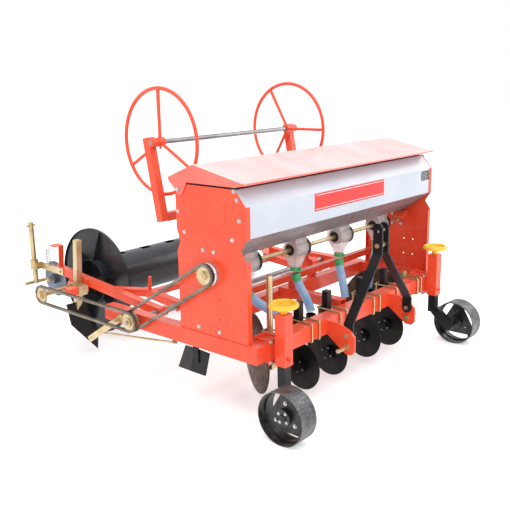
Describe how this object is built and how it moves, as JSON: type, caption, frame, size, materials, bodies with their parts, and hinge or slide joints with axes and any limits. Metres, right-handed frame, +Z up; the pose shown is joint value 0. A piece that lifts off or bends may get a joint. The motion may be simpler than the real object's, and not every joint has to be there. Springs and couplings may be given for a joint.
{
  "type": "corn planter",
  "caption": "Mounted four-row corn planter with seed hopper, disc openers, gauge wheels, ridging discs, tape reels and a chain-driven soil-covering drum",
  "frame": {"origin": "middle of the bounding box's bottom face, on the ground under the wheels", "axes": "+X towards the machine's right side, +Y rearwards from the hitch to the covering drum, +Z up"},
  "size_m": [2.019, 2.5404, 1.7479],
  "materials": {
    "red_paint": "gloss orange-red enamel, dusty on top faces",
    "lid_paint": "gloss orange-red enamel, dusty",
    "hopper_paint": "light grey enamel",
    "black_paint": "semi-gloss black enamel",
    "steel": "bright bare and plated steel",
    "zinc": "yellow-passivated zinc plate",
    "disc_steel": "dark blued steel with a browned edge",
    "wheel_steel": "worn grey steel band",
    "drum_steel": "dark painted steel",
    "chain_steel": "oiled brown steel",
    "yellow_paint": "gloss yellow enamel",
    "knob_plastic": "orange-red moulded plastic",
    "meter_plastic": "clear moulded plastic, faintly pink",
    "hose_plastic": "translucent blue flexible plastic",
    "clamp_green": "green plastic"
  },
  "bodies": {
    "root": {"front_beam": "red_paint", "side_beams": "red_paint", "cross_members": "red_paint", "hitch_lugs": "red_paint", "hitch_pins": "zinc", "mast_bars": "black_paint", "panel_left": "red_paint", "panel_right": "red_paint", "hopper": "hopper_paint", "meter_housings": "meter_plastic", "meter_end_caps": "black_paint", "outlet_clamps": "clamp_green", "shaft_bearings": "steel", "seed_hose_1": "hose_plastic", "seed_hose_2": "hose_plastic", "seed_hose_3": "hose_plastic", "seed_hose_4": "hose_plastic", "opener_shanks": "black_paint", "opener_clamps": "zinc", "gauge_sleeves": "red_paint", "ridging_shanks": "zinc", "ridge_plates": "black_paint", "film_arms": "zinc", "pivot_shaft": "steel", "drive_chain_front": "chain_steel", "reel_frame": "red_paint", "frame_bolts": "steel"},
    "lid": {"lid": "lid_paint"},
    "seed_shaft": {"seed_shaft": "zinc", "feed_rollers": "meter_plastic"},
    "idler": {"idler_sprocket": "zinc"},
    "rear_frame": {"rear_frame": "red_paint", "shovel_shanks": "zinc", "shovels": "black_paint", "drum_bearings": "red_paint", "drive_chain_rear": "chain_steel", "cover_spring_left": "steel", "cover_spring_right": "steel"},
    "drum": {"drum": "drum_steel", "drum_axle": "zinc"},
    "reel": {"reel_shaft": "steel", "reel_rings": "red_paint"},
    "rate_knob": {"rate_knob": "knob_plastic"},
    "cover_arm_left": {"cover_arm_left": "zinc"},
    "cover_disc_left": {"cover_disc_left": "disc_steel"},
    "gauge_leg_left": {"gauge_leg_left": "black_paint"},
    "gauge_wheel_left": {"gauge_wheel_left": "wheel_steel"},
    "handwheel_left": {"handwheel_left": "yellow_paint"},
    "ridging_disc_left": {"ridging_disc_left": "disc_steel"},
    "cover_arm_right": {"cover_arm_right": "zinc"},
    "cover_disc_right": {"cover_disc_right": "disc_steel"},
    "gauge_leg_right": {"gauge_leg_right": "black_paint"},
    "gauge_wheel_right": {"gauge_wheel_right": "wheel_steel"},
    "handwheel_right": {"handwheel_right": "yellow_paint"},
    "ridging_disc_right": {"ridging_disc_right": "disc_steel"},
    "opener_disc_1": {"opener_disc_1": "disc_steel"},
    "opener_disc_2": {"opener_disc_2": "disc_steel"},
    "opener_disc_3": {"opener_disc_3": "disc_steel"},
    "opener_disc_4": {"opener_disc_4": "disc_steel"}
  },
  "joints": [
    {"name": "lid_hinge", "type": "hinge", "parent": "root", "child": "lid", "pos_m": [0.0245, -0.41875, 1.226], "axis": [-1, 0, 0], "range_deg": [0, 90]},
    {"name": "rear_frame_hinge", "type": "hinge", "parent": "root", "child": "rear_frame", "pos_m": [0.0245, -0.02475, 0.424], "axis": [1, 0, 0], "range_deg": [-12, 0]},
    {"name": "drum_spin", "type": "hinge", "parent": "rear_frame", "child": "drum", "pos_m": [0.0245, 0.85925, 0.428], "axis": [1, 0, 0], "continuous": true},
    {"name": "idler_spin", "type": "hinge", "parent": "root", "child": "idler", "pos_m": [-0.9605, -0.02475, 0.424], "axis": [1, 0, 0], "continuous": true},
    {"name": "seed_shaft_spin", "type": "hinge", "parent": "root", "child": "seed_shaft", "pos_m": [0.0245, -0.63575, 0.8], "axis": [1, 0, 0], "continuous": true},
    {"name": "reel_spin", "type": "hinge", "parent": "root", "child": "reel", "pos_m": [0.0245, 0.04325, 1.428], "axis": [1, 0, 0], "continuous": true},
    {"name": "rate_knob_turn", "type": "hinge", "parent": "root", "child": "rate_knob", "pos_m": [0.8975, -0.69575, 0.846], "axis": [0, 1, 0], "range_deg": [0, 1080]},
    {"name": "cover_arm_left_hinge", "type": "hinge", "parent": "rear_frame", "child": "cover_arm_left", "pos_m": [-0.7635, 0.95538, 0.52183], "axis": [1, 0, 0], "range_deg": [0, 10], "stiffness_Nm_per_rad": 150, "springref_deg": -17.19, "deforming": ["cover_spring_left"]},
    {"name": "cover_disc_left_spin", "type": "hinge", "parent": "cover_arm_left", "child": "cover_disc_left", "pos_m": [-0.6835, 1.14425, 0.424], "axis": [1, 0, 0], "continuous": true},
    {"name": "gauge_leg_left_slide", "type": "slide", "parent": "root", "child": "gauge_leg_left", "axis": [0, 0, 1], "range_m": [-0.12, 0.06]},
    {"name": "handwheel_left_turn", "type": "hinge", "parent": "root", "child": "handwheel_left", "pos_m": [-0.7755, -1.00975, 0.622], "axis": [0, 0, 1], "range_deg": [-8642, 4322]},
    {"name": "gauge_wheel_left_spin", "type": "hinge", "parent": "gauge_leg_left", "child": "gauge_wheel_left", "pos_m": [-0.9055, -1.12775, 0.1425], "axis": [1, 0, 0], "continuous": true},
    {"name": "ridging_disc_left_spin", "type": "hinge", "parent": "root", "child": "ridging_disc_left", "pos_m": [-0.6295, -0.65975, 0.275], "axis": [0.8572, -0.515, 0], "continuous": true},
    {"name": "cover_arm_right_hinge", "type": "hinge", "parent": "rear_frame", "child": "cover_arm_right", "pos_m": [0.8125, 0.95538, 0.52183], "axis": [1, 0, 0], "range_deg": [0, 10], "stiffness_Nm_per_rad": 150, "springref_deg": -17.19, "deforming": ["cover_spring_right"]},
    {"name": "cover_disc_right_spin", "type": "hinge", "parent": "cover_arm_right", "child": "cover_disc_right", "pos_m": [0.7325, 1.14425, 0.424], "axis": [1, 0, 0], "continuous": true},
    {"name": "gauge_leg_right_slide", "type": "slide", "parent": "root", "child": "gauge_leg_right", "axis": [0, 0, 1], "range_m": [-0.12, 0.06]},
    {"name": "handwheel_right_turn", "type": "hinge", "parent": "root", "child": "handwheel_right", "pos_m": [0.8245, -1.00975, 0.622], "axis": [0, 0, 1], "range_deg": [-8642, 4322]},
    {"name": "gauge_wheel_right_spin", "type": "hinge", "parent": "gauge_leg_right", "child": "gauge_wheel_right", "pos_m": [0.9545, -1.12775, 0.1425], "axis": [1, 0, 0], "continuous": true},
    {"name": "ridging_disc_right_spin", "type": "hinge", "parent": "root", "child": "ridging_disc_right", "pos_m": [0.6785, -0.65975, 0.275], "axis": [0.8572, 0.515, 0], "continuous": true},
    {"name": "opener_disc_1_spin", "type": "hinge", "parent": "root", "child": "opener_disc_1", "pos_m": [-0.4555, -0.87275, 0.203], "axis": [0.9962, -0.0872, 0], "continuous": true},
    {"name": "opener_disc_2_spin", "type": "hinge", "parent": "root", "child": "opener_disc_2", "pos_m": [-0.1855, -0.87275, 0.203], "axis": [0.9962, -0.0872, 0], "continuous": true},
    {"name": "opener_disc_3_spin", "type": "hinge", "parent": "root", "child": "opener_disc_3", "pos_m": [0.1745, -0.87275, 0.203], "axis": [0.9962, -0.0872, 0], "continuous": true},
    {"name": "opener_disc_4_spin", "type": "hinge", "parent": "root", "child": "opener_disc_4", "pos_m": [0.4445, -0.87275, 0.203], "axis": [0.9962, -0.0872, 0], "continuous": true}
  ],
  "couplings": [
    {"joint": "idler_spin", "follows": "drum_spin", "ratio": 1},
    {"joint": "seed_shaft_spin", "follows": "drum_spin", "ratio": 1},
    {"joint": "handwheel_left_turn", "follows": "gauge_leg_left_slide", "rad_per_m": 1256.6},
    {"joint": "handwheel_right_turn", "follows": "gauge_leg_right_slide", "rad_per_m": 1256.6}
  ]
}
